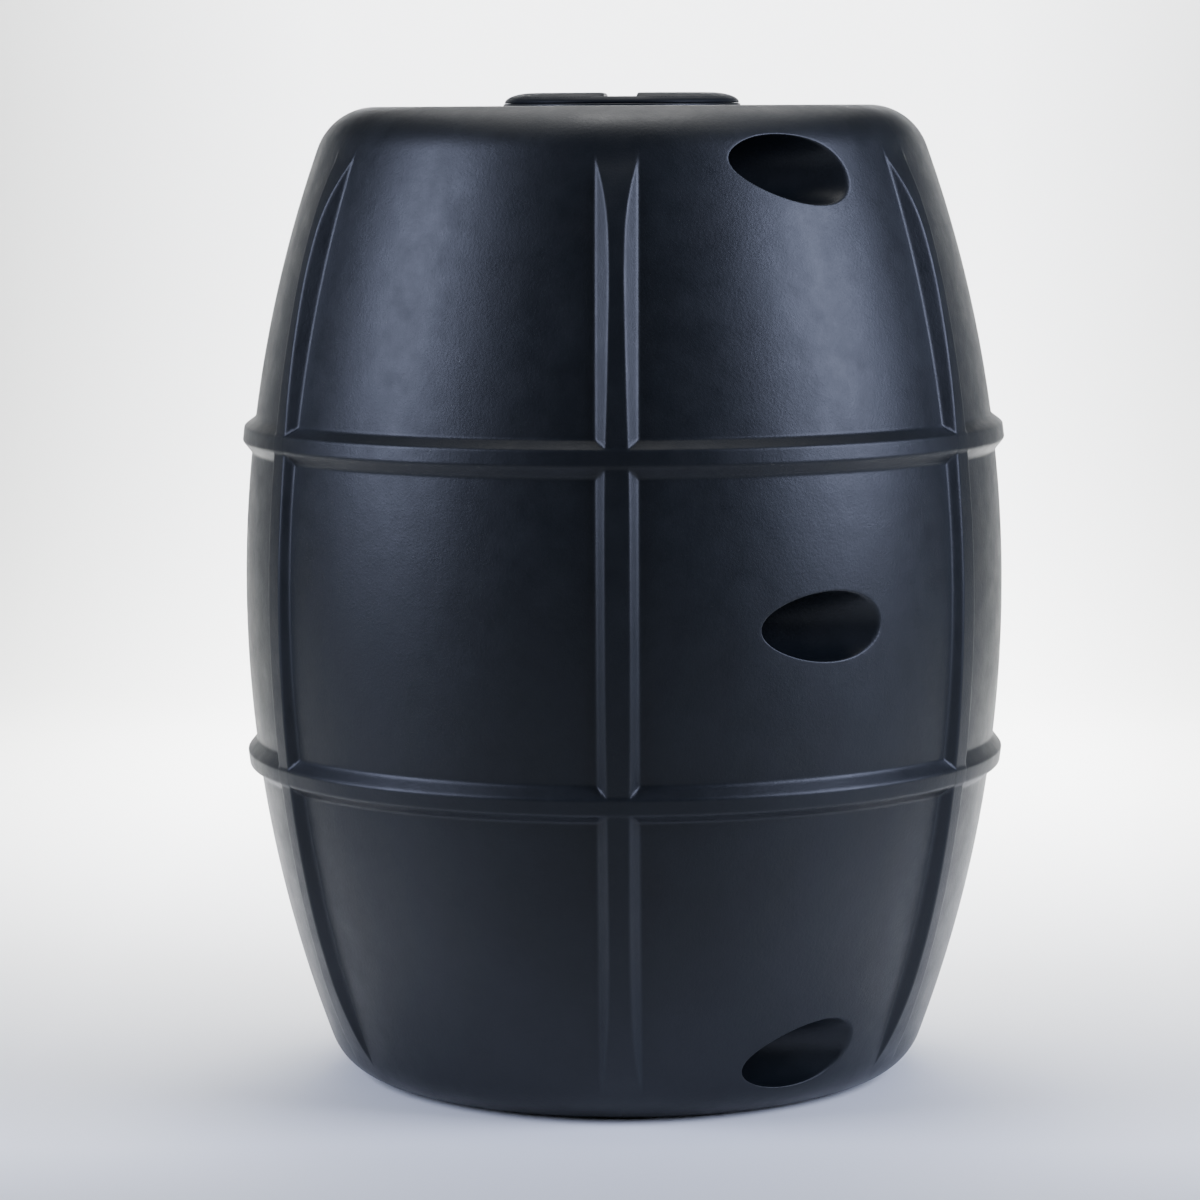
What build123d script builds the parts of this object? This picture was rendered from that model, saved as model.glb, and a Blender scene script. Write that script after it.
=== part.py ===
from build123d import *
import math
import os

# A moulded polyethylene water barrel with two hoops, six upright ribs, hand pockets drawn into
# its wall, and a screw lid in a neck ring that is screwed to the top. Millimetres, +Z up.
# The origin is the centre of the base, on the floor. A rib faces -Y, and the pockets run along X.

# Barrel wall
HEIGHT = 792.0
BELLY_RADIUS = 310.0
BELLY_Z = 400.0
STAVE_RADIUS = 1063.0
SHOULDER_FILLET = 50.0
BASE_FILLET = 48.0
WALL = 5.0
FOOT_RING_INNER_RADIUS = 165.0
FOOT_RECESS = 6.0

# Hoops: two bands around the barrel with sloping sides
HOOP_HEIGHTS = (264.5, 527.7)
HOOP_BASE_HALF_WIDTH = 14.2
HOOP_FACE_HALF_WIDTH = 6.0
HOOP_DEPTH = 8.6
HOOP_FLANK_ANGLE = 45.0

# Upright ribs: sides slope at 45 degrees, and the depth changes along the rib
RIB_COUNT = 6
RIB_BASE_HALF_WIDTH = 16.0
RIB_FLANK_ANGLE = 45.0
RIB_SINK = 12.0
RIB_SWING = 24.0
RIB_REACH_INSIDE = 36.0
# (height above the belly, depth of the rib's face outside the wall)
RIB_FACE = ((361, -2.6), (351, 0.3), (336, 4.0), (321, 7.0), (304, 9.1), (272, 10.3), (220, 9.8),
            (180, 8.9), (113, 7.0), (22, 6.6), (-54, 6.8), (-180, 8.0), (-278, 7.9), (-312, 6.9),
            (-340, 4.7), (-357, 2.2), (-367, -1.4), (-374, -6.2), (-379, -11.0))

# Hand pockets: blind round holes along X, (height above the floor, offset of the axis from Z)
POCKET_RADIUS = 26.7
POCKETS = ((742.5, 209.6), (396.3, 262.9), (52.0, 203.9))
POCKET_END_X = 32.0
POCKET_END_FILLET = 14.0

# Neck: hole in the top, thickened around it for the screws, with a raised bead under the lid's rim
MOUTH_RADIUS = 72.0
NECK_PAD_RADIUS = 95.0
NECK_PAD_THICKNESS = 14.0
NECK_BEAD_INNER_RADIUS = 92.0
NECK_BEAD_OUTER_RADIUS = 96.5
NECK_BEAD_HEIGHT = 2.0
NECK_BEAD_FILLET = 1.5

# Neck gasket and neck ring
GASKET_THICKNESS = 1.5
GASKET_RADIUS = 91.5
FLANGE_THICKNESS = 3.0
FLANGE_RADIUS = 90.5
SLEEVE_RADIUS = 71.0
SLEEVE_BOTTOM_Z = 769.0
BORE_RADIUS = 61.9

# Two-start thread shared by the neck ring and the lid
THREAD_STARTS = 2
THREAD_LEAD = 12.0
THREAD_DEPTH = 3.2
THREAD_ROOT_WIDTH = 3.2
THREAD_CREST_WIDTH = 1.6
THREAD_TURNS = 1.1
THREAD_OVERLAP = 0.6
THREAD_BOTTOM_Z = 775.0

# Countersunk screws through the flange
SCREW_COUNT = 8
SCREW_CIRCLE_RADIUS = 80.5
SCREW_SHANK_RADIUS = 2.0
SCREW_HEAD_RADIUS = 4.2
SCREW_LENGTH = 14.0
SCREW_GAP = 0.05
SCREW_CLEARANCE_RADIUS = 2.4
SCREW_HOLE_LENGTH = 12.0
DRIVE_SLOT_LENGTH = 4.6
DRIVE_SLOT_WIDTH = 1.0
DRIVE_SLOT_DEPTH = 1.4

# Lid seal and screw lid
SEAL_THICKNESS = 1.4
SEAL_INNER_RADIUS = 63.5
SEAL_OUTER_RADIUS = 70.5
LID_TOP_Z = 802.4
LID_RIM_Z = 794.5
LID_RADIUS = 95.5
LID_TOP_RADIUS = 76.0
LID_RECESS_RADIUS = 92.0
LID_EDGE_BULGE = 2.6
GRIP_GROOVE_WIDTH = 27.0
GRIP_GROOVE_DEPTH = 3.0
SKIRT_RADIUS = 58.0
SKIRT_WALL = 5.0
SKIRT_BOTTOM_Z = 773.0

GASKET_TOP_Z = HEIGHT + GASKET_THICKNESS
FLANGE_TOP_Z = GASKET_TOP_Z + FLANGE_THICKNESS
SEAL_TOP_Z = FLANGE_TOP_Z + SEAL_THICKNESS
WALL_ARC_CENTRE = BELLY_RADIUS - STAVE_RADIUS


def wall_radius(z):
    """Outer radius of the plain wall at a height above the floor."""
    rise = z - BELLY_Z
    return WALL_ARC_CENTRE + math.sqrt(STAVE_RADIUS**2 - rise**2)


def disc(radius, low, high):
    """A plain round about Z, between two heights."""
    return Pos(0, 0, low) * extrude(Circle(radius), high - low)


def ring(inner, outer, low, high):
    """A plain ring about Z, between two heights."""
    return Pos(0, 0, low) * extrude(Circle(outer) - Circle(inner), high - low)


def barrel_body(inset):
    """The plain barrel, its wall, top and base moved in by inset."""
    low = inset
    high = HEIGHT - inset
    low_radius = wall_radius(low) - inset
    high_radius = wall_radius(high) - inset
    outline = Wire([
        Edge.make_line((0, 0, low), (low_radius, 0, low)),
        Edge.make_three_point_arc((low_radius, 0, low), (BELLY_RADIUS - inset, 0, BELLY_Z),
                                  (high_radius, 0, high)),
        Edge.make_line((high_radius, 0, high), (0, 0, high)),
        Edge.make_line((0, 0, high), (0, 0, low)),
    ])
    half = Face(outline)
    base_corner = half.vertices().group_by(Axis.Z)[0].sort_by(Axis.X)[-1]
    half = half.fillet_2d(BASE_FILLET - inset, [base_corner])
    shoulder_corner = half.vertices().group_by(Axis.Z)[-1].sort_by(Axis.X)[-1]
    half = half.fillet_2d(SHOULDER_FILLET - inset, [shoulder_corner])
    return revolve(half, Axis.Z)


def hoop(z, inset):
    """A band around the barrel, its surface moved in by inset."""
    narrowing = inset * math.tan(math.radians(HOOP_FLANK_ANGLE / 2))
    base = HOOP_BASE_HALF_WIDTH - narrowing
    face = HOOP_FACE_HALF_WIDTH - narrowing
    wall = wall_radius(z) - inset
    tilt = math.degrees(math.asin((z - BELLY_Z) / STAVE_RADIUS))
    section = Polygon((-RIB_SINK, -base), (0, -base), (HOOP_DEPTH, -face), (HOOP_DEPTH, face),
                      (0, base), (-RIB_SINK, base), align=None)
    place = Plane(origin=(wall, 0, z), x_dir=Vector(1, 0, 0).rotate(Axis.Y, -tilt),
                  z_dir=(0, -1, 0))
    return revolve(place * section, Axis.Z)


def rib(inset):
    """An upright rib on the +X side, its surface moved in by inset."""
    base = RIB_BASE_HALF_WIDTH - inset * math.tan(math.radians(RIB_FLANK_ANGLE / 2))
    wall = BELLY_RADIUS - inset
    apex = wall + base / math.tan(math.radians(RIB_FLANK_ANGLE))
    section = make_face(Polyline((wall - RIB_SINK, -base, BELLY_Z), (wall, -base, BELLY_Z),
                                 (apex, 0, BELLY_Z), (wall, base, BELLY_Z),
                                 (wall - RIB_SINK, base, BELLY_Z), close=True))
    swing = Axis((WALL_ARC_CENTRE, 0, BELLY_Z), (0, 1, 0))
    bar = revolve(section, swing, RIB_SWING) + revolve(section, swing, -RIB_SWING)
    face_line = []
    for rise, depth in RIB_FACE:
        z = BELLY_Z + rise
        face_line.append((wall_radius(z) - inset + depth, 0, z))
    top = face_line[0]
    bottom = face_line[-1]
    behind = min(top[0], bottom[0]) - RIB_REACH_INSIDE
    side = make_face([
        Spline(face_line),
        Line(bottom, (behind, 0, bottom[2])),
        Line((behind, 0, bottom[2]), (behind, 0, top[2])),
        Line((behind, 0, top[2]), top),
    ])
    slab = extrude(side, RIB_BASE_HALF_WIDTH, dir=(0, 1, 0), both=True)
    return bar & slab


def barrel_form(inset):
    """The barrel with its ribs and hoops, as one solid moved in by inset."""
    form = barrel_body(inset)
    for z in HOOP_HEIGHTS:
        form += hoop(z, inset)
    one_rib = rib(inset)
    for number in range(RIB_COUNT):
        form += Rot(0, 0, -90 + number * 360 / RIB_COUNT) * one_rib
    return form


def pocket(z, offset, growth):
    """The space of one pocket on the +X side, made larger all round by growth."""
    length = BELLY_RADIUS - POCKET_END_X + growth
    space = Cylinder(POCKET_RADIUS + growth, length, align=(Align.CENTER, Align.CENTER, Align.MIN))
    space = fillet(space.edges().sort_by(Axis.Z)[0], POCKET_END_FILLET + growth)
    return Pos(POCKET_END_X - growth, -offset, z) * Rot(0, 90, 0) * space


def all_pockets(growth):
    """Three pockets on the +X side, and three on the -X side half a turn away."""
    spaces = []
    for z, offset in POCKETS:
        one = pocket(z, offset, growth)
        spaces.append(one)
        spaces.append(Rot(0, 0, 180) * one)
    return spaces


def screw_places():
    """The centres of the neck screws, at the top of the flange."""
    return [Rot(0, 0, (number + 0.5) * 360 / SCREW_COUNT) * Pos(SCREW_CIRCLE_RADIUS, 0, FLANGE_TOP_Z)
            for number in range(SCREW_COUNT)]


def neck_bead():
    """A low raised ring on the top, its outer top edge rounded."""
    bead = ring(NECK_BEAD_INNER_RADIUS, NECK_BEAD_OUTER_RADIUS, HEIGHT, HEIGHT + NECK_BEAD_HEIGHT)
    top_edges = bead.edges().group_by(Axis.Z)[-1]
    return fillet(top_edges.sort_by(SortBy.LENGTH)[-1], NECK_BEAD_FILLET)


def barrel_shell():
    outside = barrel_form(0) + neck_bead()
    inside = barrel_form(WALL)
    inside -= disc(FOOT_RING_INNER_RADIUS + WALL, 0, FOOT_RECESS + WALL)
    inside -= disc(NECK_PAD_RADIUS, HEIGHT - NECK_PAD_THICKNESS, HEIGHT)
    for space in all_pockets(WALL):
        inside -= space
    for space in all_pockets(0):
        outside -= space
    shell = outside - inside
    shell -= disc(FOOT_RING_INNER_RADIUS, -1, FOOT_RECESS)
    shell -= disc(MOUTH_RADIUS, HEIGHT - 2 * NECK_PAD_THICKNESS, HEIGHT + 1)
    for place in screw_places():
        depth = SCREW_LENGTH + 1
        shell -= place * Pos(0, 0, -depth / 2) * Cylinder(SCREW_SHANK_RADIUS + SCREW_GAP, depth)
    return shell


def neck_gasket():
    gasket = ring(MOUTH_RADIUS, GASKET_RADIUS, HEIGHT, GASKET_TOP_Z)
    for place in screw_places():
        gasket -= place * Cylinder(SCREW_CLEARANCE_RADIUS, SCREW_HOLE_LENGTH)
    return gasket


def thread_ridge(root_radius, depth, bottom):
    """One start of a thread; depth is positive on a shaft and negative in a bore."""
    path = Helix(THREAD_LEAD, THREAD_LEAD * THREAD_TURNS, root_radius)
    sink = math.copysign(THREAD_OVERLAP, depth)
    half_root = THREAD_ROOT_WIDTH / 2
    half_crest = THREAD_CREST_WIDTH / 2
    section = make_face(Polyline((root_radius - sink, 0, -half_root), (root_radius, 0, -half_root),
                                 (root_radius + depth, 0, -half_crest),
                                 (root_radius + depth, 0, half_crest),
                                 (root_radius, 0, half_root), (root_radius - sink, 0, half_root),
                                 close=True))
    return Pos(0, 0, bottom) * sweep(section, path=path, is_frenet=True)


def thread_starts(root_radius, depth, bottom, turn):
    ridge = thread_ridge(root_radius, depth, bottom)
    return [Rot(0, 0, turn + start * 360 / THREAD_STARTS) * ridge for start in range(THREAD_STARTS)]


def neck_ring():
    """Flange and sleeve with the inside thread."""
    body = ring(BORE_RADIUS, FLANGE_RADIUS, GASKET_TOP_Z, FLANGE_TOP_Z)
    body += ring(BORE_RADIUS, SLEEVE_RADIUS, SLEEVE_BOTTOM_Z, FLANGE_TOP_Z)
    for place in screw_places():
        body -= place * Cylinder(SCREW_CLEARANCE_RADIUS, SCREW_HOLE_LENGTH)
        body -= place * screw_head(SCREW_GAP)
    # Half a pitch above the lid's ridges, so that the two threads mesh
    half_pitch_turn = -360 / THREAD_STARTS / 2
    for ridge in thread_starts(BORE_RADIUS, -THREAD_DEPTH, THREAD_BOTTOM_Z, half_pitch_turn):
        body += ridge
    return body


def screw_head(gap):
    """A 90 degree countersunk head, its top at z = 0, grown by gap."""
    top = SCREW_HEAD_RADIUS + gap
    height = top - SCREW_SHANK_RADIUS
    return Pos(0, 0, -height / 2) * Cone(SCREW_SHANK_RADIUS, top, height)


def neck_screws():
    screw = screw_head(0) + Pos(0, 0, -SCREW_LENGTH / 2) * Cylinder(SCREW_SHANK_RADIUS, SCREW_LENGTH)
    screw = chamfer(screw.edges().sort_by(Axis.Z)[0], SCREW_SHANK_RADIUS / 2)
    screw -= Box(DRIVE_SLOT_LENGTH, DRIVE_SLOT_WIDTH, 2 * DRIVE_SLOT_DEPTH)
    screw -= Box(DRIVE_SLOT_WIDTH, DRIVE_SLOT_LENGTH, 2 * DRIVE_SLOT_DEPTH)
    return Compound([place * screw for place in screw_places()])


def lid_seal():
    return ring(SEAL_INNER_RADIUS, SEAL_OUTER_RADIUS, FLANGE_TOP_Z, SEAL_TOP_Z)


def screw_lid():
    """A low dome with a grip groove across it, over a threaded skirt."""
    middle = Vector((LID_RADIUS + LID_TOP_RADIUS) / 2, 0, (LID_RIM_Z + LID_TOP_Z) / 2)
    outward = Vector(LID_TOP_Z - LID_RIM_Z, 0, LID_RADIUS - LID_TOP_RADIUS).normalized()
    bulge = middle + outward * LID_EDGE_BULGE
    half = make_face([
        Line((0, 0, SEAL_TOP_Z), (LID_RECESS_RADIUS, 0, SEAL_TOP_Z)),
        Line((LID_RECESS_RADIUS, 0, SEAL_TOP_Z), (LID_RECESS_RADIUS, 0, LID_RIM_Z)),
        Line((LID_RECESS_RADIUS, 0, LID_RIM_Z), (LID_RADIUS, 0, LID_RIM_Z)),
        ThreePointArc((LID_RADIUS, 0, LID_RIM_Z), bulge, (LID_TOP_RADIUS, 0, LID_TOP_Z)),
        Line((LID_TOP_RADIUS, 0, LID_TOP_Z), (0, 0, LID_TOP_Z)),
        Line((0, 0, LID_TOP_Z), (0, 0, SEAL_TOP_Z)),
    ])
    lid = revolve(half, Axis.Z)
    lid -= Pos(0, 0, LID_TOP_Z) * Box(GRIP_GROOVE_WIDTH, 3 * LID_RADIUS, 2 * GRIP_GROOVE_DEPTH)
    lid += ring(SKIRT_RADIUS - SKIRT_WALL, SKIRT_RADIUS, SKIRT_BOTTOM_Z, SEAL_TOP_Z)
    for ridge in thread_starts(SKIRT_RADIUS, THREAD_DEPTH, THREAD_BOTTOM_Z, 0):
        lid += ridge
    return lid


def write(name, shape):
    shape.label = name
    export_step(shape, "parts/" + name + ".step")


os.makedirs("parts", exist_ok=True)
write("barrel_shell", barrel_shell())
write("neck_gasket", neck_gasket())
write("neck_ring", neck_ring())
write("neck_screws", neck_screws())
write("lid_seal", lid_seal())
write("screw_lid", screw_lid())
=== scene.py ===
"""Looks for a moulded plastic water barrel with hoops, ribs, hand pockets and a screw lid.

Units are metres. Z is up, the barrel stands on z = 0, a rib faces -Y and the pockets run along X.
"""

import math

import bpy
import numpy as np
from mathutils import Matrix, Vector


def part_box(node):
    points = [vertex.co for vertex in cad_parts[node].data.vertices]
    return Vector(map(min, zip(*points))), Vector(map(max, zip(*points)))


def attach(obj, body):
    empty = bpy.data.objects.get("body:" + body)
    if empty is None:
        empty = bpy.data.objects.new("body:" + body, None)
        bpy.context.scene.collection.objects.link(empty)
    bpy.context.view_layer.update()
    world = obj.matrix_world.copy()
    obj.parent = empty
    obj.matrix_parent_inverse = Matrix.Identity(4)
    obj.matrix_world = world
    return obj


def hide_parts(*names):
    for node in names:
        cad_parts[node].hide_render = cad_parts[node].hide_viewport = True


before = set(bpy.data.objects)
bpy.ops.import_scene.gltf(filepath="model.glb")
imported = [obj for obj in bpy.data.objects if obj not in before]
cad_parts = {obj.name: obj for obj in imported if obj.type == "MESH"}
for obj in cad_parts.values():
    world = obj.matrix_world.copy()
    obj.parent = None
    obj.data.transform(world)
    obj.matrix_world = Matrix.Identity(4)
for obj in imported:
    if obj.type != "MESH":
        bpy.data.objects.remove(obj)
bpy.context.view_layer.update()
shell_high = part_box("barrel_shell")[1]
lid_low, lid_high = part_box("screw_lid")
seal_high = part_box("lid_seal")[1]

# Barrel wall: the design's dimensions, with the top of its neck bead taken from the frame
HEIGHT = 0.792
BEAD_TOP = shell_high.z
BEAD_INNER_RADIUS = 0.0920
BEAD_OUTER_RADIUS = 0.0965
BEAD_SIDE_SHARE = 0.3
BEAD_TOP_SHARE = 0.98
BEAD_CLEARANCE = 0.001
BELLY_RADIUS = 0.310
BELLY_Z = 0.400
STAVE_RADIUS = 1.063
SHOULDER_FILLET = 0.050
BASE_FILLET = 0.048
WALL = 0.005
FOOT_RING_INNER_RADIUS = 0.165
FOOT_RECESS = 0.006
FOOT_STEP_EDGE = 0.003
MOUTH_RADIUS = 0.072
NECK_PAD_RADIUS = 0.095
NECK_PAD_THICKNESS = 0.014
ARC_CENTRE = BELLY_RADIUS - STAVE_RADIUS

# Hoops and ribs
HOOP_HEIGHTS = (0.2645, 0.5277)
HOOP_BASE_HALF = 0.0142
HOOP_FACE_HALF = 0.0060
HOOP_DEPTH = 0.0084
RIB_COUNT = 6
RIB_BASE_HALF = 0.0160
RIB_FLANK_ANGLE = math.radians(45.0)
RIB_LEAST_DEPTH = 0.0005
# (height above the belly, depth of the rib's face outside the wall), from the top down
RIB_FACE = ((0.361, -0.0026), (0.351, 0.0003), (0.336, 0.0040), (0.321, 0.0070),
            (0.304, 0.0091), (0.272, 0.0103), (0.220, 0.0098), (0.180, 0.0089),
            (0.113, 0.0070), (0.022, 0.0066), (-0.054, 0.0068), (-0.180, 0.0080),
            (-0.278, 0.0079), (-0.312, 0.0069), (-0.340, 0.0047), (-0.353, 0.0032),
            (-0.362, 0.0018), (-0.368, 0.0004), (-0.376, -0.0020), (-0.382, -0.0040))
EDGE_BLEND = 0.0012
ROOT_BLEND = 0.0016
SEAM_HALF_WIDTH = 0.0009
SEAM_DEPTH = 0.00030
SEAM_TOP = 0.060
SEAM_FADE = 0.040

# Hand pockets: (height of the axis, distance of the axis from Z)
POCKETS = ((0.7425, 0.2096), (0.3963, 0.2629), (0.0520, 0.2039))
POCKET_RADIUS = 0.0267
POCKET_END_X = 0.032
POCKET_END_FILLET = 0.014
POCKET_LIP = 0.0014
POCKET_LIP_DEPTH = 0.0040
POCKET_WALL = 0.0015
MOUTH_POINTS = 721
PATCH_MARGIN_ANGLE = 0.045
PATCH_MARGIN_ALONG = 0.012

# Mesh spacing
PANEL_COLUMNS = 44
ROW_STEP = 0.005
HOOP_ROW_STEP = 0.001
FILLET_ROWS = 16

# Lid
LID_TOP = lid_high.z
LID_RADIUS = 0.0955
LID_RIM_Z = 0.7941
LID_FLAT_RADIUS = 0.0720
LID_RECESS_RADIUS = 0.0920
PLATE_UNDERSIDE = seal_high.z
GROOVE_HALF_WIDTH = 0.0128
GROOVE_DEPTH = 0.0030
GRIP_CORNER = 0.0085
GRIP_EDGE = 0.0024
GRIP_DRAFT = 0.15
GRIP_SINK = 0.0008
SKIRT_RADIUS = 0.058
SKIRT_WALL = 0.005
SKIRT_BOTTOM = lid_low.z
THREAD_LEAD = 0.012
THREAD_STARTS = 2
THREAD_DEPTH = 0.0032
THREAD_ROOT_HALF = 0.0016
THREAD_CREST_HALF = 0.0008
THREAD_BOTTOM = 0.775
THREAD_TURNS = 1.1
THREAD_END_RATE = 40
LID_COLUMNS = 192


# ---------------------------------------------------------------- small helpers

def smooth_min(a, b, blend):
    """The lower of two heights, rounded over where they meet."""
    overlap = np.maximum(blend - np.abs(a - b), 0.0)
    return np.minimum(a, b) - overlap**2 / (4 * blend)


def smooth_max(a, b, blend):
    """The higher of two heights, filled in where they meet."""
    return -smooth_min(-a, -b, blend)


def smooth_curve(points, x):
    """A curve through (x, y) points with falling x, with the tangents of a Catmull-Rom spline."""
    xs = np.array([p[0] for p in points])[::-1]
    ys = np.array([p[1] for p in points])[::-1]
    slopes = np.gradient(ys, xs)
    x = np.clip(x, xs[0], xs[-1])
    left = np.clip(np.searchsorted(xs, x) - 1, 0, len(xs) - 2)
    span = xs[left + 1] - xs[left]
    t = (x - xs[left]) / span
    start = ys[left] * (2 * t**3 - 3 * t**2 + 1) + slopes[left] * span * (t**3 - 2 * t**2 + t)
    end = ys[left + 1] * (3 * t**2 - 2 * t**3) + slopes[left + 1] * span * (t**3 - t**2)
    return start + end


def mesh_object(name, verts, faces):
    """A smooth-shaded object from plain lists."""
    mesh = bpy.data.meshes.new(name)
    mesh.from_pydata([tuple(v) for v in verts], [], faces)
    mesh.validate()
    mesh.polygons.foreach_set("use_smooth", [True] * len(mesh.polygons))
    obj = bpy.data.objects.new(name, mesh)
    bpy.context.scene.collection.objects.link(obj)
    return obj


# ---------------------------------------------------------------- barrel shell

class Meridian:
    """The outline of the plain barrel from the mouth to the centre of the base, moved in by inset."""

    def __init__(self, inset):
        self.inset = inset
        self.shoulder_z = HEIGHT - SHOULDER_FILLET
        self.base_z = BASE_FILLET
        self.shoulder_r = self.fillet_centre(SHOULDER_FILLET, self.shoulder_z)
        self.base_r = self.fillet_centre(BASE_FILLET, self.base_z)
        self.top_angle = math.atan2(self.shoulder_z - BELLY_Z, self.shoulder_r - ARC_CENTRE)
        self.low_angle = math.atan2(self.base_z - BELLY_Z, self.base_r - ARC_CENTRE)

    @staticmethod
    def fillet_centre(radius, z):
        """How far from Z the centre of a fillet inside the wall's arc lies."""
        return ARC_CENTRE + math.sqrt((STAVE_RADIUS - radius)**2 - (z - BELLY_Z)**2)

    def arc_point(self, centre_r, centre_z, radius, angle):
        cos, sin = math.cos(angle), math.sin(angle)
        reach = radius - self.inset
        return (centre_r + reach * cos, centre_z + reach * sin, cos, sin)

    def wall_angles(self):
        """Angles down the wall's arc: close together at the hoops, wider between them."""
        z_top = BELLY_Z + STAVE_RADIUS * math.sin(self.top_angle)
        z_low = BELLY_Z + STAVE_RADIUS * math.sin(self.low_angle)
        reach = HOOP_BASE_HALF + 3 * ROOT_BLEND
        stops = [z_top]
        for z in sorted(HOOP_HEIGHTS, reverse=True):
            stops += [z + reach, z - reach]
        stops.append(z_low)
        heights = []
        for number, (high, low) in enumerate(zip(stops, stops[1:])):
            step = HOOP_ROW_STEP if number % 2 else ROW_STEP
            count = max(2, round((high - low) / step))
            heights += list(np.linspace(high, low, count, endpoint=False))
        heights.append(z_low)
        return [math.asin((z - BELLY_Z) / STAVE_RADIUS) for z in heights]

    @staticmethod
    def bead_rows():
        """The raised bead round the neck: steep sides and a rounded top."""
        half = (BEAD_OUTER_RADIUS - BEAD_INNER_RADIUS) / 2
        rise = BEAD_TOP - HEIGHT
        rows = [(BEAD_INNER_RADIUS, HEIGHT, 0, 1)]
        for turn in np.linspace(math.pi, 0, 9):
            round_share = (1 - BEAD_SIDE_SHARE) * math.sin(turn)
            rows.append((BEAD_INNER_RADIUS + half * (1 + BEAD_TOP_SHARE * math.cos(turn)),
                         HEIGHT + rise * (BEAD_SIDE_SHARE + round_share), 0, 1))
        return rows + [(BEAD_OUTER_RADIUS, HEIGHT, 0, 1)]

    def stations(self):
        """(radius, height, outward normal's r and z) for every row, from the mouth down."""
        top = HEIGHT - self.inset
        rows = []
        if self.inset:
            pad = HEIGHT - NECK_PAD_THICKNESS
            rows += [(MOUTH_RADIUS, pad, 0, 1), (NECK_PAD_RADIUS, pad, 0, 1)]
            start = NECK_PAD_RADIUS
        else:
            rows += [(MOUTH_RADIUS, top, 0, 1), (BEAD_INNER_RADIUS - BEAD_CLEARANCE, top, 0, 1)]
            rows += self.bead_rows()
            start = BEAD_OUTER_RADIUS + BEAD_CLEARANCE
        flat_rows = round((self.shoulder_r - start) / (2 * ROW_STEP))
        for radius in np.linspace(start, self.shoulder_r, flat_rows, endpoint=False):
            rows.append((radius, top, 0, 1))
        for angle in np.linspace(math.pi / 2, self.top_angle, FILLET_ROWS, endpoint=False):
            rows.append(self.arc_point(self.shoulder_r, self.shoulder_z, SHOULDER_FILLET, angle))
        for angle in self.wall_angles():
            rows.append(self.arc_point(ARC_CENTRE, BELLY_Z, STAVE_RADIUS, angle))
        for angle in np.linspace(self.low_angle, -math.pi / 2, FILLET_ROWS + 1)[1:]:
            rows.append(self.arc_point(self.base_r, self.base_z, BASE_FILLET, angle))
        step = FOOT_RING_INNER_RADIUS + self.inset
        rows += [(step + FOOT_STEP_EDGE, self.inset, 0, -1),
                 (step, self.inset + FOOT_STEP_EDGE, 0, -1),
                 (step - FOOT_STEP_EDGE, self.inset + FOOT_RECESS, 0, -1)]
        for radius in (0.12, 0.06, 0.02):
            rows.append((radius, self.inset + FOOT_RECESS, 0, -1))
        return np.array(rows, float)


def rib_columns(depth):
    """Distances from a rib's centre line where columns run, given the rib's depth in a row."""
    face_edge = RIB_BASE_HALF - np.clip(depth, RIB_LEAST_DEPTH, None)
    near_edge = np.array([-0.0024, -0.0012, -0.0004, 0.0004, 0.0012, 0.0024])
    half = np.concatenate([[SEAM_HALF_WIDTH, 2 * SEAM_HALF_WIDTH, 0.004], face_edge + near_edge,
                           RIB_BASE_HALF + near_edge, [RIB_BASE_HALF + 0.0045]])
    half = np.sort(np.maximum(half, 0.0004))
    for number in range(1, len(half)):
        half[number] = max(half[number], half[number - 1] + 0.0002)
    return np.concatenate([-half[::-1], [0.0], half])


def relief(lateral, z, inset):
    """How far ribs and hoops stand out of the wall, for a point beside a rib's centre line."""
    narrowing = inset * math.tan(RIB_FLANK_ANGLE / 2)
    face = smooth_curve(RIB_FACE, z - BELLY_Z)
    flank = RIB_BASE_HALF - narrowing - np.abs(lateral)
    rib = smooth_min(flank, face, EDGE_BLEND)
    height = smooth_max(rib, np.zeros_like(rib), ROOT_BLEND)
    height = height - smooth_max(np.full_like(rib, -1.0), np.zeros_like(rib), ROOT_BLEND)
    slope = HOOP_DEPTH / (HOOP_BASE_HALF - HOOP_FACE_HALF)
    for centre in HOOP_HEIGHTS:
        side = (HOOP_BASE_HALF - narrowing - np.abs(z - centre)) * slope
        hoop = smooth_min(side, np.full_like(side, HOOP_DEPTH), EDGE_BLEND)
        height = smooth_max(height, hoop, ROOT_BLEND)
    return height


def seam_height(lateral):
    """The mould's parting line, a hair of plastic under the feet of two opposite ribs."""
    return SEAM_DEPTH * np.clip(1 - np.abs(lateral) / SEAM_HALF_WIDTH, 0, 1)


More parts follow.
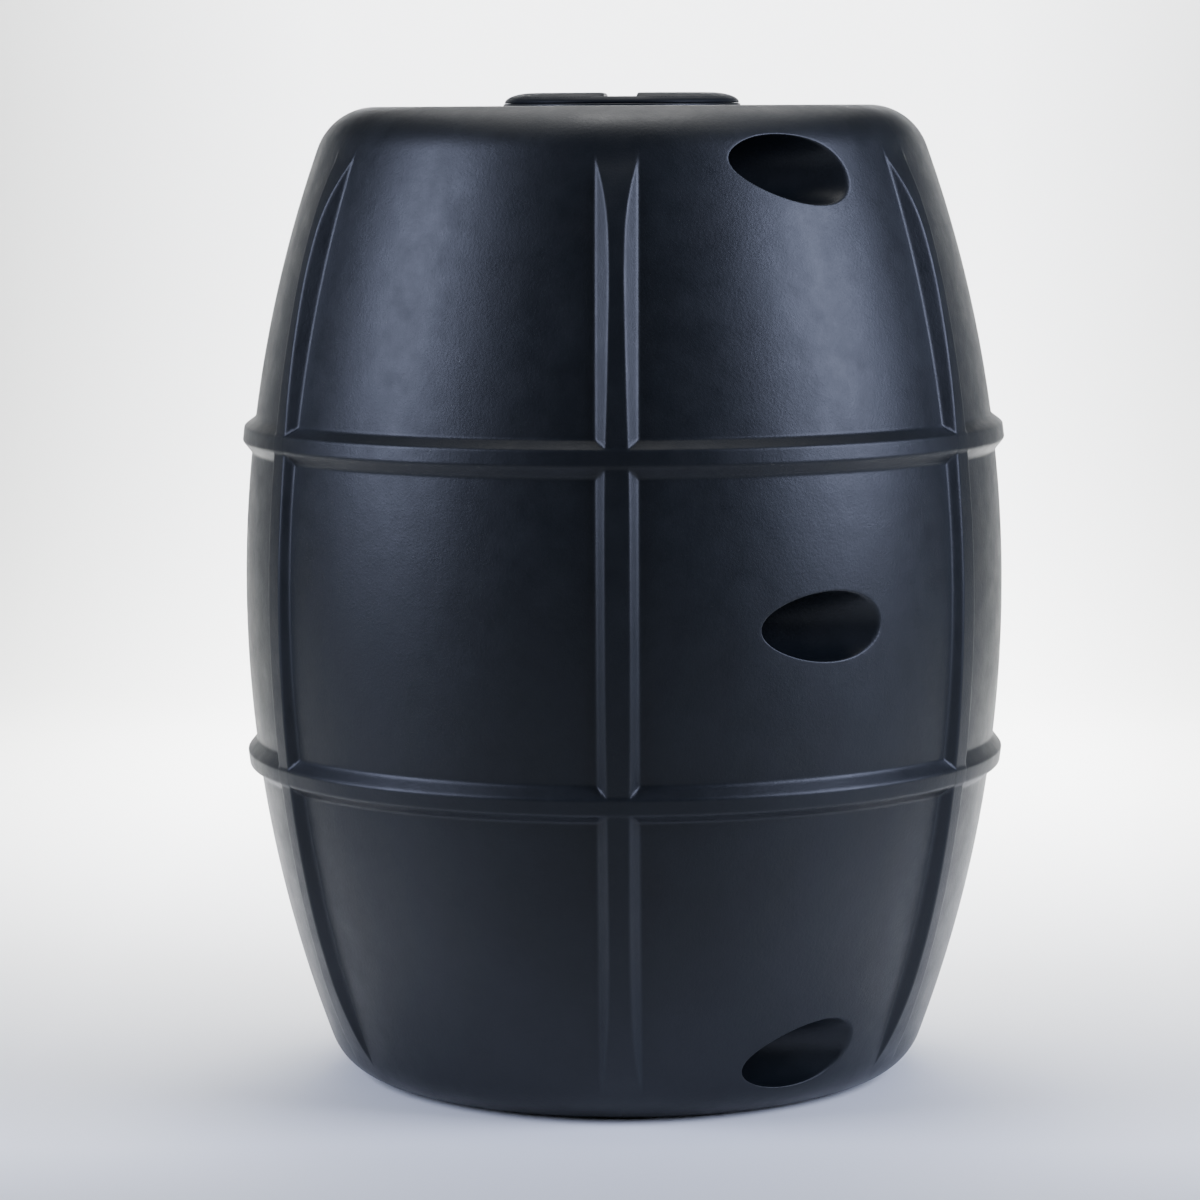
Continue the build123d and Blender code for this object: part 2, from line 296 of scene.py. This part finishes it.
class Skin:
    """One closed-round surface of the shell, as rows of vertices from the mouth to the base."""

    def __init__(self, inset):
        self.inset = inset
        self.meridian = Meridian(inset)
        self.rows = self.meridian.stations()
        lengths = np.hypot(np.diff(self.rows[:, 0]), np.diff(self.rows[:, 1]))
        self.along = np.concatenate([[0], np.cumsum(lengths)])
        sloping = np.flatnonzero(self.rows[:, 2] > 1e-9)
        self.falling = slice(sloping[0], sloping[-1] + 1)
        self.place_columns()
        self.place_vertices()
        self.faces = []
        self.skipped = set()
        for flip in (False, True):
            for z, offset in POCKETS:
                self.add_pocket(z, offset, flip)
        self.add_grid()

    def place_columns(self):
        """The angle and the distance from the nearest rib's centre line, for each row and column."""
        angles = []
        laterals = []
        shoulder = self.meridian.shoulder_r + SHOULDER_FILLET * math.cos(self.meridian.top_angle)
        for radius, z, _, _ in self.rows:
            reference = max(radius, shoulder - self.inset)
            depth = float(smooth_curve(RIB_FACE, np.array([z - BELLY_Z]))[0])
            beside = rib_columns(depth)
            turned = np.arcsin(beside / reference)
            sector = 2 * math.pi / RIB_COUNT
            panel = np.linspace(turned[-1], sector + turned[0], PANEL_COLUMNS + 1)[1:-1]
            one_angle = np.concatenate([turned, panel])
            to_rib = np.minimum(panel, sector - panel)
            one_lateral = np.concatenate([beside, reference * np.sin(to_rib)])
            angles.append(np.concatenate([one_angle + k * sector for k in range(RIB_COUNT)]))
            laterals.append(np.tile(one_lateral, RIB_COUNT))
        self.angles = np.array(angles) - math.pi / 2
        self.laterals = np.array(laterals)
        self.rib_width = len(beside)
        self.per_sector = len(one_angle)

    def place_vertices(self):
        radius, z, out_r, out_z = (self.rows[:, k][:, None] for k in range(4))
        height = relief(self.laterals, z + 0 * self.laterals, self.inset)
        on_wall = np.clip(out_r * 4, 0, 1)
        height = height * on_wall
        if not self.inset:
            on_seam = np.zeros_like(height)
            for sector in (0, RIB_COUNT // 2):
                first = sector * self.per_sector
                on_seam[:, first:first + self.rib_width] = 1
            above_foot = np.clip(z / SEAM_DEPTH - 1, 0, 1)
            fade = np.clip((SEAM_TOP - z) / SEAM_FADE, 0, 1)
            height = height + seam_height(self.laterals) * on_seam * above_foot * fade
        r = radius + height * out_r
        up = z + height * out_z
        self.grid = np.stack([r * np.cos(self.angles), r * np.sin(self.angles), up], -1)
        self.verts = list(self.grid.reshape(-1, 3))

    def index(self, row, column):
        columns = self.angles.shape[1]
        return row * columns + column % columns

    def add_grid(self):
        rows, columns = self.angles.shape
        for row in range(rows - 1):
            for column in range(columns):
                if (row, column) in self.skipped:
                    continue
                self.faces.append((self.index(row, column), self.index(row + 1, column),
                                   self.index(row + 1, column + 1), self.index(row, column + 1)))
        centre = len(self.verts)
        self.verts.append(np.array([0, 0, self.rows[-1, 1]]))
        for column in range(columns):
            self.faces.append((self.index(rows - 1, column), centre,
                               self.index(rows - 1, column + 1)))

    def mouth(self, z, offset, radius, turns):
        """Where a pocket's round hole meets the plain surface: angle about Z and distance along."""
        height = z + radius * np.sin(turns)
        beside = offset + radius * np.cos(turns)
        heights = self.rows[self.falling, 1][::-1]
        wall = np.interp(height, heights, self.rows[self.falling, 0][::-1])
        along = np.interp(height, heights, self.along[self.falling][::-1])
        x = np.sqrt(wall**2 - beside**2)
        return np.arctan2(-beside, x), along

    def surface_point(self, angle, along):
        radius = np.interp(along, self.along, self.rows[:, 0])
        z = np.interp(along, self.along, self.rows[:, 1])
        return np.stack([radius * np.cos(angle), radius * np.sin(angle), z], -1)

    def open_patch(self, mouth_angle, mouth_along, half_turn):
        """Leaves a patch of the grid open round a mouth, and gives the vertices of its border."""
        middle_row = int(np.argmin(np.abs(self.along - mouth_along.mean())))
        low_angle = mouth_angle.min() - PATCH_MARGIN_ANGLE + half_turn
        high_angle = mouth_angle.max() + PATCH_MARGIN_ANGLE + half_turn
        first = int(np.searchsorted(self.angles[middle_row], low_angle))
        last = int(np.searchsorted(self.angles[middle_row], high_angle))
        top = int(np.searchsorted(self.along, mouth_along.min() - PATCH_MARGIN_ALONG)) - 1
        bottom = int(np.searchsorted(self.along, mouth_along.max() + PATCH_MARGIN_ALONG))
        for row in range(top, bottom):
            self.skipped |= {(row, column) for column in range(first, last)}
        border = [(row, first) for row in range(top, bottom)]
        border += [(bottom, column) for column in range(first, last)]
        border += [(row, last) for row in range(bottom, top, -1)]
        border += [(top, column) for column in range(last, first, -1)]
        return border

    def matching_turns(self, mouth_angle, mouth_along, turns, border_angle, border_along):
        """For each border vertex, the turn round the pocket's axis that lies the same way."""
        centre_angle = (mouth_angle.min() + mouth_angle.max()) / 2
        centre_along = (mouth_along.min() + mouth_along.max()) / 2
        mid_radius = np.interp(centre_along, self.along, self.rows[:, 0])

        def direction(angle, along):
            return np.arctan2(-(along - centre_along), (angle - centre_angle) * mid_radius)

        mouth_direction = np.unwrap(direction(mouth_angle, mouth_along))
        order = np.argsort(mouth_direction)
        base = mouth_direction[order[0]]
        wanted = (direction(border_angle, border_along) - base) % (2 * math.pi) + base
        return np.interp(wanted, mouth_direction[order], turns[order])

    def pocket_inside(self, z, offset, radius, growth, inward, turn):
        """Rings from a pocket's lip down its straight bore and round to its flat end."""
        rings = []
        end_x = POCKET_END_X - growth
        fillet = POCKET_END_FILLET + growth
        straight = inward.copy()
        straight[:, 0] = end_x + fillet
        for share in np.linspace(0, 1, 9)[1:]:
            rings.append(inward * (1 - share) + straight * share)
        sections = []
        for bend in np.linspace(0, math.pi / 2, 6)[1:]:
            sections.append((radius - fillet * (1 - math.cos(bend)),
                             end_x + fillet * (1 - math.sin(bend))))
        for share in (0.6, 0.25):
            sections.append(((radius - fillet) * share, end_x))
        cos, sin = np.cos(turn), np.sin(turn)
        for across, x in sections:
            rings.append(np.stack([x + 0 * cos, -(offset + across * cos), z + across * sin], -1))
        return rings

    def join_rings(self, ring, rings, end, flip):
        """Adds rings of points one after another, starting at a ring in place, and closes the end."""
        sign = -1 if flip else 1
        count = len(ring)
        for points in rings:
            start = len(self.verts)
            self.verts += [np.array([sign * p[0], sign * p[1], p[2]]) for p in points]
            new_ring = list(range(start, start + count))
            for k in range(count):
                following = (k + 1) % count
                self.faces.append((ring[k], ring[following], new_ring[following], new_ring[k]))
            ring = new_ring
        centre = len(self.verts)
        self.verts.append(np.array([sign * end[0], sign * end[1], end[2]]))
        for k in range(count):
            self.faces.append((ring[k], ring[(k + 1) % count], centre))

    def add_pocket(self, z, offset, flip):
        """Opens the grid round a pocket's mouth and fills it with rings down to the pocket's end."""
        growth = POCKET_WALL if self.inset else 0.0
        lip_radius = POCKET_RADIUS + growth + POCKET_LIP - growth / 2
        radius = POCKET_RADIUS + growth
        half_turn = math.pi if flip else 0.0
        turns = np.linspace(0, 2 * math.pi, MOUTH_POINTS)
        mouth_angle, mouth_along = self.mouth(z, offset, lip_radius, turns)
        border = self.open_patch(mouth_angle, mouth_along, half_turn)
        border_angle = np.array([self.angles[row, column] for row, column in border]) - half_turn
        border_along = np.array([self.along[row] for row, _ in border])
        turn = self.matching_turns(mouth_angle, mouth_along, turns, border_angle, border_along)

        lip_angle, lip_along = self.mouth(z, offset, lip_radius, turn)
        edge_angle, edge_along = self.mouth(z, offset, radius, turn)
        lip = self.surface_point(lip_angle, lip_along)
        edge = self.surface_point(edge_angle, edge_along)
        inward = edge - np.array([POCKET_LIP_DEPTH, 0, 0])
        rings = []
        for share in (0.2, 0.4, 0.58, 0.72, 0.84, 0.93):
            angle = border_angle + (lip_angle - border_angle) * share
            along = border_along + (lip_along - border_along) * share
            rings.append(self.surface_point(angle, along))
        for t in np.linspace(0, 1, 8):
            rings.append(lip * (1 - t)**2 + edge * 2 * t * (1 - t) + inward * t**2)
        rings += self.pocket_inside(z, offset, radius, growth, inward, turn)
        ring = [self.index(row, column) for row, column in border]
        self.join_rings(ring, rings, (POCKET_END_X - growth, -offset, z), flip)


def barrel_shell():
    """The outer and inner skins as one closed mesh, joined round the mouth."""
    outer = Skin(0.0)
    inner = Skin(WALL)
    shift = len(outer.verts)
    verts = outer.verts + inner.verts
    faces = list(outer.faces)
    faces += [tuple(v + shift for v in reversed(face)) for face in inner.faces]
    columns = outer.angles.shape[1]
    for column in range(columns):
        following = (column + 1) % columns
        faces.append((column, following, shift + following, shift + column))
    return mesh_object("moulded_barrel", verts, faces)


# ---------------------------------------------------------------- screw lid

def lid_edge(z):
    """Radius of the lid's rounded side at a height: a quarter of an ellipse."""
    share = (z - LID_RIM_Z) / (LID_TOP - LID_RIM_Z)
    return LID_FLAT_RADIUS + (LID_RADIUS - LID_FLAT_RADIUS) * np.sqrt(np.clip(1 - share**2, 0, 1))


def thread_height(angle, z):
    """How far the two-start thread stands out of the skirt."""
    turn = (angle % (2 * math.pi)) / (2 * math.pi)
    height = np.full(np.broadcast(angle, z).shape, -1.0)
    slope = THREAD_DEPTH / (THREAD_ROOT_HALF - THREAD_CREST_HALF)
    for start in range(THREAD_STARTS):
        for wrap in (0, 1):
            run = (turn - start / THREAD_STARTS) % 1.0 + wrap
            axis = THREAD_BOTTOM + THREAD_LEAD * run
            side = (THREAD_ROOT_HALF - np.abs(z - axis)) * slope
            ends = np.minimum(run, THREAD_TURNS - run) * THREAD_END_RATE * THREAD_DEPTH
            height = np.maximum(height, np.minimum(side, ends))
    return np.clip(height, 0, THREAD_DEPTH)


def lid_body():
    """The lid turned about Z: groove floor, rounded side, hollow underside and threaded skirt."""
    floor = LID_TOP - GROOVE_DEPTH
    rows = [(r, floor) for r in (0.003, 0.03, 0.06, 0.08)]
    rim_radius = float(lid_edge(floor))
    rows += [(rim_radius - 0.0016, floor), (rim_radius - 0.0006, floor - 0.0001)]
    for z in np.linspace(floor - 0.0005, LID_RIM_Z + 0.0008, 9):
        rows.append((float(lid_edge(z)), z))
    rows += [(LID_RADIUS - 0.0002, LID_RIM_Z + 0.0003), (LID_RADIUS - 0.0008, LID_RIM_Z)]
    rows += [(LID_RECESS_RADIUS + 0.0006, LID_RIM_Z), (LID_RECESS_RADIUS, LID_RIM_Z + 0.0006)]
    rows += [(LID_RECESS_RADIUS, PLATE_UNDERSIDE - 0.001)]
    rows += [(LID_RECESS_RADIUS - 0.001, PLATE_UNDERSIDE), (SKIRT_RADIUS + 0.001, PLATE_UNDERSIDE)]
    skirt_first = len(rows)
    for z in np.linspace(PLATE_UNDERSIDE - 0.001, SKIRT_BOTTOM + 0.001, 70):
        rows.append((SKIRT_RADIUS, z))
    skirt_last = len(rows)
    inner = SKIRT_RADIUS - SKIRT_WALL
    rows += [(SKIRT_RADIUS - 0.001, SKIRT_BOTTOM), (inner + 0.001, SKIRT_BOTTOM)]
    rows += [(inner, SKIRT_BOTTOM + 0.001), (inner, PLATE_UNDERSIDE - 0.002)]
    rows += [(inner - 0.002, PLATE_UNDERSIDE), (0.03, PLATE_UNDERSIDE), (0.003, PLATE_UNDERSIDE)]
    angles = np.arange(LID_COLUMNS) * 2 * math.pi / LID_COLUMNS
    verts = []
    for number, (radius, z) in enumerate(rows):
        out = np.full(LID_COLUMNS, radius)
        if skirt_first <= number < skirt_last:
            out = out + thread_height(angles, np.full(LID_COLUMNS, z))
        verts += [(r * math.cos(a), r * math.sin(a), z) for r, a in zip(out, angles)]
    faces = []
    for row in range(len(rows) - 1):
        for column in range(LID_COLUMNS):
            following = (column + 1) % LID_COLUMNS
            faces.append((row * LID_COLUMNS + column, (row + 1) * LID_COLUMNS + column,
                          (row + 1) * LID_COLUMNS + following, row * LID_COLUMNS + following))
    last = (len(rows) - 1) * LID_COLUMNS
    faces.append(tuple(range(LID_COLUMNS)))
    faces.append(tuple(reversed(range(last, last + LID_COLUMNS))))
    return verts, faces


def half_moon(arc_radius, chord, corner):
    """A half-moon outline on the +X side: straight side at x = chord, two rounded corners."""
    corner_x = chord + corner
    corner_y = math.sqrt((arc_radius - corner)**2 - corner_x**2)
    meet = math.atan2(corner_y, corner_x)
    points = [(chord, y) for y in np.linspace(corner_y, -corner_y, 24, endpoint=False)]
    for turn in np.linspace(-math.pi, -meet, 14, endpoint=False):
        points.append((corner_x + corner * math.cos(turn), -corner_y + corner * math.sin(turn)))
    for turn in np.linspace(-meet, meet, 72, endpoint=False):
        points.append((arc_radius * math.cos(turn), arc_radius * math.sin(turn)))
    for turn in np.linspace(meet, math.pi, 14, endpoint=False):
        points.append((corner_x + corner * math.cos(turn), corner_y + corner * math.sin(turn)))
    return points


def grip(side):
    """One raised half-moon of the lid, on the side +1 or -1 of X."""
    foot = LID_TOP - GROOVE_DEPTH - GRIP_SINK
    levels = []
    for z in np.linspace(foot, LID_TOP - GRIP_EDGE, 4):
        levels.append((float(lid_edge(z)), GROOVE_HALF_WIDTH + GRIP_DRAFT * (z - foot), z))
    wall_end = levels[-1][1]
    for bend in np.linspace(0, math.pi / 2, 8)[1:]:
        z = LID_TOP - GRIP_EDGE * (1 - math.sin(bend))
        levels.append((float(lid_edge(z)), wall_end + GRIP_EDGE * (1 - math.cos(bend)), z))
    verts = []
    for arc_radius, chord, z in levels:
        corner = GRIP_CORNER - (chord - GROOVE_HALF_WIDTH)
        verts += [(side * x, side * y, z) for x, y in half_moon(arc_radius, chord, corner)]
    count = len(verts) // len(levels)
    faces = []
    for level in range(len(levels) - 1):
        for k in range(count):
            following = (k + 1) % count
            faces.append((level * count + k, level * count + following,
                          (level + 1) * count + following, (level + 1) * count + k))
    last = (len(levels) - 1) * count
    faces.append(tuple(range(last, last + count)))
    faces.append(tuple(reversed(range(count))))
    return verts, faces


def screw_lid():
    """The turned body of the lid with its two raised half-moons."""
    verts, faces = lid_body()
    for side in (1, -1):
        more_verts, more_faces = grip(side)
        shift = len(verts)
        verts += more_verts
        faces += [tuple(v + shift for v in face) for face in more_faces]
    return mesh_object("screw_lid_moulding", verts, faces)


# ---------------------------------------------------------------- materials

class Nodes:
    """A short way to build a node material."""

    def __init__(self, name):
        self.material = bpy.data.materials.new(name)
        self.material.use_nodes = True
        self.tree = self.material.node_tree
        self.shader = self.tree.nodes["Principled BSDF"]
        self.place = self.add("ShaderNodeTexCoord").outputs["Object"]

    def add(self, kind, **values):
        node = self.tree.nodes.new(kind)
        for name, value in values.items():
            setattr(node, name, value)
        return node

    def link(self, source, target):
        self.tree.links.new(source, target)

    def noise(self, scale, detail=3.0, roughness=0.5, stretch=(1, 1, 1)):
        mapping = self.add("ShaderNodeMapping")
        mapping.inputs["Scale"].default_value = stretch
        self.link(self.place, mapping.inputs["Vector"])
        node = self.add("ShaderNodeTexNoise")
        node.inputs["Scale"].default_value = scale
        node.inputs["Detail"].default_value = detail
        node.inputs["Roughness"].default_value = roughness
        self.link(mapping.outputs["Vector"], node.inputs["Vector"])
        return node.outputs["Fac"]

    def ramp(self, source, low, high, from_low=0.3, from_high=0.7):
        """Maps a value to a number between low and high."""
        node = self.add("ShaderNodeMapRange")
        node.inputs["From Min"].default_value = from_low
        node.inputs["From Max"].default_value = from_high
        node.inputs["To Min"].default_value = low
        node.inputs["To Max"].default_value = high
        self.link(source, node.inputs["Value"])
        return node.outputs["Result"]

    def colours(self, source, dark, light):
        node = self.add("ShaderNodeMix", data_type="RGBA")
        node.inputs["A"].default_value = (*dark, 1)
        node.inputs["B"].default_value = (*light, 1)
        self.link(source, node.inputs["Factor"])
        return node.outputs["Result"]

    def bump(self, source, distance, strength=1.0, below=None):
        node = self.add("ShaderNodeBump")
        node.inputs["Strength"].default_value = strength
        node.inputs["Distance"].default_value = distance
        self.link(source, node.inputs["Height"])
        if below is not None:
            self.link(below, node.inputs["Normal"])
        return node.outputs["Normal"]


def moulded_plastic(name, dark, light, rough_low, rough_high, ior):
    """Rotation-moulded polyethylene: waxy, faintly mottled, with a fine orange-peel grain."""
    nodes = Nodes(name)
    blotches = nodes.noise(14.0, detail=4.0, roughness=0.6)
    cloud = nodes.ramp(blotches, 0.0, 1.0)
    nodes.link(nodes.colours(cloud, dark, light), nodes.shader.inputs["Base Color"])
    haze = nodes.noise(45.0, detail=5.0, roughness=0.65)
    nodes.link(nodes.ramp(haze, rough_low, rough_high), nodes.shader.inputs["Roughness"])
    waves = nodes.bump(nodes.noise(28.0, detail=2.0), 0.0004)
    peel = nodes.bump(nodes.noise(420.0, detail=3.0, roughness=0.6), 0.00014, below=waves)
    grain = nodes.bump(nodes.noise(1100.0, detail=3.0, roughness=0.7), 0.00007, below=peel)
    nodes.link(grain, nodes.shader.inputs["Normal"])
    nodes.shader.inputs["IOR"].default_value = ior
    return nodes.material


def black_rubber():
    nodes = Nodes("black_rubber")
    dust = nodes.ramp(nodes.noise(60.0, detail=4.0), 0.0, 1.0)
    nodes.link(nodes.colours(dust, (0.010, 0.010, 0.010), (0.022, 0.022, 0.021)),
               nodes.shader.inputs["Base Color"])
    nodes.link(nodes.ramp(nodes.noise(130.0), 0.62, 0.78), nodes.shader.inputs["Roughness"])
    nodes.link(nodes.bump(nodes.noise(900.0), 0.00005), nodes.shader.inputs["Normal"])
    return nodes.material


def stainless_steel():
    nodes = Nodes("stainless_steel")
    marks = nodes.noise(700.0, detail=2.0, stretch=(1, 1, 0.1))
    nodes.link(nodes.colours(marks, (0.50, 0.50, 0.51), (0.66, 0.66, 0.66)),
               nodes.shader.inputs["Base Color"])
    nodes.link(nodes.ramp(marks, 0.22, 0.38), nodes.shader.inputs["Roughness"])
    nodes.link(nodes.bump(marks, 0.00001), nodes.shader.inputs["Normal"])
    nodes.shader.inputs["Metallic"].default_value = 1.0
    return nodes.material


def paint(obj, material):
    """Gives a piece one material."""
    obj.data.materials.clear()
    obj.data.materials.append(material)


# ---------------------------------------------------------------- studio

CAMERA_DISTANCE = 3.5486
CAMERA_HEIGHT = 0.7894
CAMERA_AZIMUTH = math.radians(0.945)
CAMERA_YAW = math.radians(0.3206)
CAMERA_PITCH = math.radians(6.467)
CAMERA_ROLL = math.radians(-0.291)
CAMERA_LENS = 129.98
SENSOR = 36.0


def add_camera():
    data = bpy.data.cameras.new("camera")
    data.lens = CAMERA_LENS
    data.sensor_width = SENSOR
    camera = bpy.data.objects.new("camera", data)
    bpy.context.scene.collection.objects.link(camera)
    turn = Matrix.Rotation(CAMERA_AZIMUTH + CAMERA_YAW, 4, "Z")
    tilt = Matrix.Rotation(math.pi / 2 - CAMERA_PITCH, 4, "X")
    roll = Matrix.Rotation(CAMERA_ROLL, 4, "Z")
    place = Vector((CAMERA_DISTANCE * math.sin(CAMERA_AZIMUTH),
                    -CAMERA_DISTANCE * math.cos(CAMERA_AZIMUTH), CAMERA_HEIGHT))
    camera.matrix_world = Matrix.Translation(place) @ turn @ tilt @ roll
    bpy.context.scene.camera = camera


def add_area_light(name, place, target, width, height, power, colour=(1, 1, 1), spread=180):
    data = bpy.data.lights.new(name, "AREA")
    data.shape = "RECTANGLE"
    data.size = width
    data.size_y = height
    data.energy = power
    data.color = colour
    data.spread = math.radians(spread)
    light = bpy.data.objects.new(name, data)
    bpy.context.scene.collection.objects.link(light)
    light.location = place
    light.rotation_euler = (Vector(target) - Vector(place)).to_track_quat("-Z", "Y").to_euler()


def add_floor():
    """A pale floor that curves up into a low backdrop. Its colour turns greyer in front and far to
    the sides: painted shade that stands in for the dim studio round the camera.
    """
    half_width = 4.0
    front = -5.0
    back = 2.2
    bend = 0.8
    top = 1.5
    profile = [(front, 0.0), (back, 0.0)]
    for turn in np.linspace(0, math.pi / 2, 17)[1:]:
        profile.append((back + bend * math.sin(turn), bend * (1 - math.cos(turn))))
    profile.append((back + bend, top))
    verts = []
    for y, z in profile:
        verts += [(-half_width, y, z), (half_width, y, z)]
    faces = [(2 * k, 2 * k + 1, 2 * k + 3, 2 * k + 2) for k in range(len(profile) - 1)]
    floor = mesh_object("floor", verts, faces)
    nodes = Nodes("floor_with_painted_shade")
    split = nodes.add("ShaderNodeSeparateXYZ")
    nodes.link(nodes.place, split.inputs["Vector"])
    behind = nodes.ramp(split.outputs["Y"], 0.0, 1.0, from_low=-0.65, from_high=-0.30)
    across = nodes.add("ShaderNodeMath", operation="ABSOLUTE")
    nodes.link(split.outputs["X"], across.inputs[0])
    between = nodes.ramp(across.outputs["Value"], 1.0, 0.0, from_low=0.50, from_high=1.10)
    pale = nodes.add("ShaderNodeMath", operation="MULTIPLY")
    nodes.link(behind, pale.inputs[0])
    nodes.link(between, pale.inputs[1])
    # Painted shade: the colour goes from pale behind and beside the barrel to grey in front and far
    # to the sides, which also darkens the floor that the barrel's lower body reflects
    nodes.link(nodes.colours(pale.outputs["Value"], (0.42, 0.42, 0.39), (0.92, 0.92, 0.90)),
               nodes.shader.inputs["Base Color"])
    nodes.shader.inputs["Roughness"].default_value = 0.85
    paint(floor, nodes.material)


def add_world():
    world = bpy.data.worlds.new("studio")
    world.use_nodes = True
    world.node_tree.nodes["Background"].inputs["Color"].default_value = (1, 1, 1, 1)
    world.node_tree.nodes["Background"].inputs["Strength"].default_value = 0.08
    bpy.context.scene.world = world


def add_lights():
    middle = (0, 0, 0.45)
    cool = (0.78, 0.87, 1.24)
    add_area_light("left_softbox", (-2.5, -0.9, 1.5), middle, 1.5, 2.0, 92, cool)
    add_area_light("right_softbox", (2.5, -1.0, 1.5), middle, 1.5, 2.0, 124, cool)
    add_area_light("streak_softbox", (0, 0.6, 3.0), middle, 0.5, 0.8, 12)
    add_area_light("ceiling", (0, 2.4, 3.4), (0, 2.4, 0), 2.8, 6.0, 100)
    add_area_light("floor_wash", (0, 2.0, 2.6), (0, 1.7, 0), 1.6, 0.8, 60, spread=70)
    add_area_light("backdrop_wash", (0, 1.1, 2.0), (0, 3.0, 0.8), 3.4, 0.5, 230)


add_camera()
add_world()
add_lights()
add_floor()

shell = barrel_shell()
paint(shell, moulded_plastic("barrel_polyethylene", (0.0045, 0.0060, 0.0075),
                             (0.0065, 0.0085, 0.0105), 0.36, 0.46, 1.37))
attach(shell, "barrel")
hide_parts("barrel_shell")

lid = screw_lid()
lid_plastic = moulded_plastic("lid_plastic", (0.006, 0.007, 0.009), (0.009, 0.011, 0.013),
                              0.42, 0.52, 1.20)
paint(lid, lid_plastic)
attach(lid, "lid")
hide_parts("screw_lid")

rubber = black_rubber()
paint(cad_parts["neck_ring"], lid_plastic)
paint(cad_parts["neck_gasket"], rubber)
paint(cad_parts["lid_seal"], rubber)
paint(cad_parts["neck_screws"], stainless_steel())
